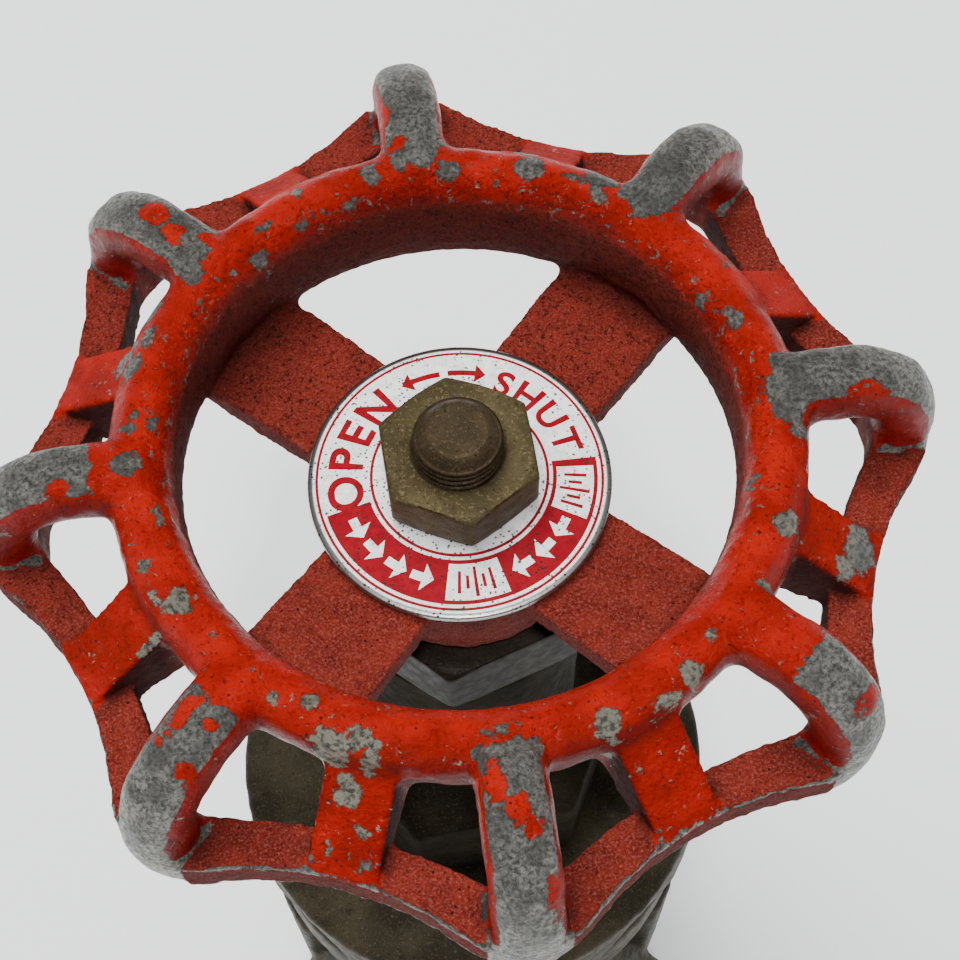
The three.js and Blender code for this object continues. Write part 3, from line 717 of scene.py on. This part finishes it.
def make_wheel():
    voxel, smooth_steps, extra_smooth_steps = 0.36 * MM, 2, 7
    piece = remeshed_copy("handwheel", "wheel_casting", voxel, smooth_steps)
    mesh = piece.data
    average = neighbour_average(mesh)
    co = points_of(mesh)
    radius, angle, height = polar(co)
    knob, tab, ring = wheel_zones(radius, angle, height)
    in_ring = smoothstep(31.0, 30.2, radius) * smoothstep(23.0, 24.0, radius)
    round_facets(co, RING_FACETS, in_ring)
    soft = np.maximum(knob, in_ring * (1 - tab))
    co += (average(co, extra_smooth_steps) - co) * soft[:, None]
    set_points(mesh, co)

    # Unevenness of the casting: shallow dents in the smooth parts, and sand grains elsewhere.
    normals = normals_of(mesh)
    bulge = convexity(mesh, average)
    glossy = np.maximum(np.maximum(knob, tab), ring)
    cast = 1.0 - glossy
    dents = relief_at(co, SMOOTH_DENTS) * glossy * (1 - 0.7 * tab)
    push = (dents + relief_at(co, ROUGH_GRAIN) * cast) * MM
    set_points(mesh, co + normals * push[:, None])

    # Faces that get painted shade, painted sheen and darker paint. backness is 1 at the back of the
    # wheel and -1 in front.
    reach = np.maximum(np.hypot(co[:, 0], co[:, 1]), 1e-6)
    outward = (normals[:, 0] * co[:, 0] + normals[:, 1] * co[:, 1]) / reach
    backness = np.sin(np.radians(angle + WHEEL_TURN))
    # Painted shade on the back half of the ring's inner wall.
    inner_wall = smoothstep(26.6, 25.4, radius) * smoothstep(-5.0, -3.0, height)
    inner_wall *= smoothstep(-0.9, 0.1, backness)
    back_left = smoothstep(-0.2, 0.7, np.sin(np.radians(angle + WHEEL_TURN - 45.0)))
    # Painted shade: the steep sides of the tabs and gussets, and a little of the inner wall.
    steep = smoothstep(0.55, 0.25, np.abs(normals[:, 2]))
    tab_sides = steep * smoothstep(28.0, 30.0, radius) * (1 - knob) * smoothstep(0.6, 0.3, outward)
    painted_shade = np.clip(tab_sides + 0.15 * steep * inner_wall, 0.0, 1.0)
    # Painted sheen: the chips in front are paler, where the light reflects.
    in_front = smoothstep(0.1, -0.6, backness) * smoothstep(35.6, 34.8, radius)

    # What the paint's shader reads. All but the first run from 0 to 1.
    attributes = {
        # depth in millimetres inside a patch of bare metal
        "bare": paint_wear(radius, angle, height, normals, outward, bulge, (knob, tab)),
        "cast": cast,  # rough, dusty cast faces
        "pale": (1 - knob) * in_front,  # painted sheen: paler metal in the chips in front, where the light reflects
        "grime": np.clip(-bulge * 6.0, 0.0, 1.0),  # painted shade: black in hollows
        "soot": np.clip(inner_wall + 0.8 * back_left * cast, 0.0, 1.0),  # painted shade on the back of the ring's inner wall, and darker cast faces at the back left
        "shade": painted_shade,  # painted shade: nearly black on the sides of tabs and gussets, and a little on the inner wall
        "dull": np.clip(cast + painted_shade + 0.9 * tab, 0.0, 1.0),  # paint with no gloss left
    }
    for name, values in attributes.items():
        set_attribute(mesh, name, values)
    finish_piece(piece, wheel_material(), "spindle", "handwheel")


# Turned and threaded pieces. Profiles are in millimetres, with heights from the grip band's top.

def ring_row(radius, height):
    radius = np.broadcast_to(radius, THETA.shape) * MM
    z = np.broadcast_to(height, THETA.shape) * MM + RIM_Z
    return np.stack([radius * np.cos(THETA), radius * np.sin(THETA), z], axis=1)


def hex_radius(across, turn):
    """Distance out to a hexagon whose first corner is turned by so many degrees from -Y."""
    off = np.mod(np.degrees(THETA) + 90.0 - turn, 60.0) - 30.0
    return across / 2 / np.cos(np.radians(off))


def thread_wave(height, pitch, hand):
    """0 at a thread's root and 1 at its crest, round one ring at a height."""
    turn = np.mod(height / pitch - hand * THETA / TAU, 1.0)
    return np.clip(1.35 * (1.0 - np.abs(2 * turn - 1.0)) - 0.17, 0.0, 1.0)


def threaded_rows(low, high, crest, depth, pitch, hand=1, fade=0.8):
    """Rings of a helical thread that fades out near both ends."""
    rows = []
    count = max(2, round(abs(high - low) / pitch * ROWS_PER_TURN))
    for height in np.linspace(low, high, count):
        near_end = min(1.0, min(abs(height - low), abs(high - height)) / fade)
        wave = thread_wave(height, pitch, hand)
        rows.append(ring_row(crest - depth * near_end * (1.0 - wave), height))
    return rows


def hexagon_nut(name, across, low, high, turn, chamfer, inner_rows):
    """A hexagon nut with both faces chamfered. inner_rows line its hole from top to bottom."""
    side = hex_radius(across, turn)
    flat_radius = np.minimum(across / math.sqrt(3) - chamfer, side - 0.03)
    drop = (side - flat_radius) * math.tan(math.radians(30))  # height of the chamfer
    worn = 0.13  # how far the edges between chamfer and flats are worn back
    face_profile = [  # radius, and depth below the face
        (flat_radius * 0.86, 0.0), (flat_radius - 0.12, 0.0), (flat_radius, 0.03),
        (side - worn, drop - 0.05), (side, drop + 0.12), (side, drop + 0.6),
    ]
    rows = [ring_row(radius, low + depth) for radius, depth in face_profile]
    rows += [ring_row(radius, high - depth) for radius, depth in face_profile[::-1]]
    return loft(name, rows + inner_rows, closed_rows=True)


def make_wheel_nut(material):
    low, high = 0.4, 5.2
    across, turn, chamfer = 13.0, 8.2, 1.0  # flats, degrees, radius cut off the corners
    mouth, bore = 4.3, 3.98  # radii of the hole
    thread_depth, pitch = 0.6, 1.25
    inner = [ring_row(mouth, high), ring_row(mouth - 0.08, high - 0.08), ring_row(bore, high - 0.34)]
    inner += threaded_rows(high - 0.4, low + 0.4, bore, thread_depth, pitch)[1:-1]
    inner += [ring_row(bore, low + 0.3), ring_row(mouth, low)]
    nut = hexagon_nut("top_nut", across, low, high, turn, chamfer, inner)
    finish_piece(nut, material, "spindle", "wheel_nut")


def make_packing_nut(material):
    low, high = -23.5, -15.2
    across, turn, chamfer = 24.0, -6.0, 1.2
    stem_hole, thread_radius = 5.4, 9.35
    ceiling = high - 1.8
    inner = [
        ring_row(stem_hole + 0.5, high), ring_row(stem_hole, high - 0.5),
        ring_row(stem_hole, ceiling), ring_row(thread_radius, ceiling),
        ring_row(thread_radius, low + 0.6), ring_row(thread_radius + 0.55, low),
    ]
    nut = hexagon_nut("gland_nut", across, low, high, turn, chamfer, inner)
    finish_piece(nut, material, "root", "packing_nut")


def square_radius(across, corner_radius):
    """Distance out to a square that lies like the wheel, with its corners turned off."""
    off = np.mod(np.degrees(THETA) - WHEEL_TURN + 45.0, 90.0) - 45.0
    return np.minimum(across / 2 / np.cos(np.radians(off)), corner_radius)


def make_stem(material):
    """From the bottom up: lifting thread, collar, shank, square for the wheel, and threaded tip."""
    bottom = (STEM_LOW.z - RIM_Z) / MM
    top = (STEM_HIGH.z - RIM_Z) / MM
    shank, collar, neck, tip_crest = 5.0, 8.6, 3.9, 3.88  # radii
    lift_depth, lift_pitch = 1.3, 3.0
    tip_depth, tip_pitch = 0.5, 0.9
    square = square_radius(8.0, 5.25)
    rows = [ring_row(0.4, bottom), ring_row(4.0, bottom), ring_row(4.3, bottom + 0.2)]
    rows += threaded_rows(bottom + 1.0, -72.0, shank, lift_depth, lift_pitch, hand=-1, fade=2.0)
    shaft_profile = [
        (shank, -70.5), (shank, -68.35), (collar - 0.3, -68.3), (collar, -68.0),
        (collar, -65.6), (collar - 0.3, -65.3), (shank, -65.25), (shank, -40.0),
        (shank, -14.4), (shank - 0.1, -14.32), (square, -14.25), (square, -8.0),
        (square, -1.95), (neck, -1.9),
    ]
    rows += [ring_row(radius, height) for radius, height in shaft_profile]
    rows += threaded_rows(-1.85, top - 1.3, tip_crest, tip_depth, tip_pitch, fade=0.3)
    nose_profile = [  # radius, and depth below the stem's top
        (3.62, 1.18), (3.48, 1.1), (3.4, 0.85), (2.72, 0.12), (2.55, 0.02), (2.3, 0.01),
        (1.4, 0.04), (0.3, 0.05),
    ]
    rows += [ring_row(radius, top - depth) for radius, depth in nose_profile]
    stem = loft("threaded_stem", rows)
    finish_piece(stem, material, "spindle", "stem")


# Nameplate and its generic print.

def plate_top(radius):
    """Height in mm of the dished plate's upper face."""
    return np.interp(radius, [7.0, 13.3, 13.62], [0.1, -0.51, -0.6])


def make_nameplate(material):
    profile = [  # over the top from the hole to the rim, and back underneath
        (4.3, 0.02), (4.45, 0.1), (7.0, 0.1), (9.0, -0.093), (11.0, -0.287), (13.2, -0.5),
        (13.45, -0.54), (13.58, -0.64), (13.6, -0.8), (13.6, -1.1), (13.5, -1.28),
        (13.3, -1.33), (7.0, -0.7), (4.3, -0.7),
    ]
    plate = loft("number_plate", [ring_row(r, h) for r, h in profile], closed_rows=True)
    finish_piece(plate, material, "spindle", "nameplate")


def sector(start, end, inner, outer):
    """Quads of a band of a ring, as points of (degrees, radius), about one quad to 2 degrees."""
    steps = max(1, round(abs(end - start) / 2.0))
    points = []
    for i in range(steps + 1):
        degrees = start + (end - start) * i / steps
        points += [(degrees, inner), (degrees, outer)]
    faces = [(2 * i, 2 * i + 1, 2 * i + 3, 2 * i + 2) for i in range(steps)]
    return points, faces


def arrow(tail, tip, middle, half_shaft, half_head):
    """A curved arrow that runs round the plate from one angle to another."""
    head_degrees = 5.5
    neck = tip - math.copysign(head_degrees, tip - tail)
    points, faces = sector(tail, neck, middle - half_shaft, middle + half_shaft)
    count = len(points)
    points += [(neck, middle - half_head), (neck, middle + half_head), (tip, middle)]
    return points, faces + [(count, count + 1, count + 2)]


def word(text, centre, base, height):
    """Letters that stand outwards on a circle and read clockwise, height millimetres tall."""
    points, faces = [], []
    pen = 0.0
    letter_gap = 0.24 * height
    spans = []
    for letter in text:
        curve = bpy.data.curves.new("letter", "FONT")
        curve.body = letter
        curve.size = height / 0.72  # capitals are 0.72 of a font's size
        curve.offset = 0.035 * height
        holder = bpy.data.objects.new("letter", curve)
        bpy.context.scene.collection.objects.link(holder)
        bpy.context.view_layer.update()
        mesh = evaluated_mesh(holder)
        xs = [v.co.x for v in mesh.vertices]
        shift = pen - min(xs)
        spans.append((mesh, shift))
        pen += max(xs) - min(xs) + letter_gap
        bpy.data.objects.remove(holder)
    width = pen - letter_gap
    middle = base + height / 2
    for mesh, shift in spans:
        first = len(points)
        for v in mesh.vertices:
            along = v.co.x + shift - width / 2
            points.append((centre - math.degrees(along / middle), base + v.co.y))
        faces += [tuple(first + i for i in polygon.vertices) for polygon in mesh.polygons]
    return points, faces


def printed(name, shapes, lift, material):
    """Thin closed prints that stand lift millimetres out of the plate, with their backs inside it."""
    print_depth = 0.08 * MM
    bm = bmesh.new()
    for points, faces in shapes:
        corners = []
        for degrees, radius in points:
            turn = math.radians(degrees)
            height = RIM_Z + (plate_top(radius) + lift) * MM
            corners.append(bm.verts.new(
                (radius * MM * math.cos(turn), radius * MM * math.sin(turn), height)))
        for face in faces:
            bm.faces.new([corners[i] for i in face])
    bmesh.ops.recalc_face_normals(bm, faces=bm.faces)
    facing_down = [f for f in bm.faces if f.normal.z < 0]
    bmesh.ops.reverse_faces(bm, faces=facing_down)
    under = bmesh.ops.extrude_face_region(bm, geom=list(bm.faces))
    sunk = [v for v in under["geom"] if isinstance(v, bmesh.types.BMVert)]
    bmesh.ops.translate(bm, verts=sunk, vec=(0.0, 0.0, -print_depth))
    bmesh.ops.recalc_face_normals(bm, faces=bm.faces)
    mesh = bpy.data.meshes.new(name)
    bm.to_mesh(mesh)
    bm.free()
    finish_piece(link_mesh(name, mesh), material, "spindle")


def make_print(red, white):
    """A red band with two windows, between two red rings, and generic words, arrows and ticks."""
    outer_ring, inner_ring = (12.62, 12.86), (7.72, 7.98)
    band_inner, band_outer, edge_line = 8.3, 12.3, 0.35
    band_start, band_end = 197.0, 368.0
    windows = ((263.0, 291.0), (338.0, 364.0))
    tick_middle, tick_half_width = 10.3, 0.8
    ticks = ((-8.0, 1.0), (-4.0, 0.6), (0.0, 1.35), (4.0, 0.6), (8.0, 1.0))
    shapes = [sector(0.0, 360.0, *outer_ring), sector(0.0, 360.0, *inner_ring)]
    starts = (band_start, windows[0][1], windows[1][1])
    ends = (windows[0][0], windows[1][0], band_end)
    for start, end in zip(starts, ends):
        shapes.append(sector(start, end, band_inner, band_outer))
    for start, end in windows:
        shapes.append(sector(start, end, band_inner, band_inner + edge_line))
        shapes.append(sector(start, end, band_outer - edge_line, band_outer))
        middle = (start + end) / 2
        for off, reach in ticks:
            shapes.append(sector(middle + off - tick_half_width, middle + off + tick_half_width,
                                 tick_middle - reach, tick_middle + reach))
    thin_arrow = (10.6, 0.28, 1.0)  # radius of its middle, half widths of its shaft and head
    shapes.append(word("OPEN", 163.0, 8.75, 3.1))
    shapes.append(arrow(99.0, 119.0, *thin_arrow))
    shapes.append(word("SHUT", 41.5, 8.95, 2.6))
    shapes.append(arrow(95.0, 76.0, *thin_arrow))
    printed("plate_print_red", shapes, 0.02, red)

    thick_arrow = (10.3, 0.4, 1.25)
    marks = []
    for centre in (209.0, 223.0, 237.0, 251.0):
        marks.append(arrow(centre - 6.0, centre + 5.5, *thick_arrow))
    for centre in (329.0, 315.0, 301.0):
        marks.append(arrow(centre + 6.0, centre - 5.5, *thick_arrow))
    printed("plate_print_white", marks, 0.05, white)


# Castings of the valve below the wheel.

def make_casting(node, material, voxel, rounded_above):
    """A softened copy of a CAD casting, made truly round above a height where it is turned."""
    piece = remeshed_copy(node, f"{node}_casting", voxel, CASTING_SMOOTH_STEPS)
    co = points_of(piece.data)
    weight = smoothstep(rounded_above - MM, rounded_above + MM, co[:, 2])
    round_facets(co, CASTING_FACETS, weight)
    set_points(piece.data, co)
    push = relief_at(co, SAND_PITS) * MM
    set_points(piece.data, co + normals_of(piece.data) * push[:, None])
    finish_piece(piece, material, "root", node)


def make_pipe_threads(material):
    """Threaded linings of the two end bores, along Y. The bores narrow inwards."""
    pitch, depth, length = 2.309, 1.35, 13.4
    mouth_radius, inner_end_radius = 20.9, 20.3
    wall, clearance, fade_length = 0.2, 0.02, 1.2
    face = BODY_HIGH.y / MM
    count = round(length / pitch * ROWS_PER_TURN)
    for side, name in ((-1, "pipe_thread_front"), (1, "pipe_thread_back")):
        inner, outer = [], []
        for i in range(count + 1):
            along = length * i / count
            bore = inner_end_radius + (mouth_radius - inner_end_radius) * along / length
            fade = min(1.0, (length - along) / fade_length, (along + 0.4) / fade_length)
            wave = thread_wave(along, pitch, 1)
            place = side * (face - length - 0.05 + along)
            inner.append((bore - clearance - depth * fade * wave, place))
            outer.append((np.broadcast_to(bore + wall, THETA.shape), place))
        rows = []
        for radius, place in inner + outer[::-1]:
            rows.append(np.stack([
                radius * np.cos(THETA) * MM,
                np.full(AROUND, place * MM),
                PIPE_Z + radius * np.sin(THETA) * MM,
            ], axis=1))
        lining = loft(name, rows, closed_rows=True)
        finish_piece(lining, material, "root")


add_camera()
add_stage()
make_wheel()

# Name, light and dark colour, roughness, height of the grain in mm, metallic, gloss.
cast_bronze = bronze_material(
    "tarnished_cast_bronze", (0.050, 0.041, 0.024), (0.024, 0.0195, 0.012), 0.52, 0.06, 0.4)
# Painted shade: much darker than the cast bronze, for the shade under the wheel.
painted_shade_nut_bronze = bronze_material(
    "dark_nut_bronze", (0.022, 0.017, 0.011), (0.011, 0.008, 0.005), 0.5, 0.06, 0.4)
# Painted shade: much darker than the cast bronze, for the shade under the wheel.
painted_shade_neck_bronze = bronze_material(
    "dark_neck_bronze", (0.022, 0.0175, 0.011), (0.011, 0.009, 0.006), 0.6, 0.06, 0.0, 0.02)
aged_brass = bronze_material(
    "aged_stem_brass", (0.105, 0.082, 0.038), (0.06, 0.046, 0.023), 0.5, 0.09, 0.55)
stem_brass = bronze_material(
    "worn_stem_brass", (0.065, 0.047, 0.026), (0.04, 0.028, 0.016), 0.48, 0.09, 0.55)

make_wheel_nut(aged_brass)
make_stem(stem_brass)
make_packing_nut(painted_shade_nut_bronze)
make_nameplate(plate_material("speckled_plate", PLATE_WHITE, 0.4, 0.3, rim=13.12))
make_print(plate_material("red_print", PRINT_RED, 0.5, 0.15),
           plate_material("white_print", PLATE_WHITE, 0.45, 0.2))
make_casting("stuffing_box", painted_shade_neck_bronze, 0.4 * MM, NECK_ROUNDED_ABOVE)
make_casting("bonnet", cast_bronze, 0.5 * MM, BONNET_ROUNDED_ABOVE)
make_casting("body", cast_bronze, 0.6 * MM, BODY_ROUNDED_ABOVE)
make_pipe_threads(aged_brass)
dress_inner_nodes()
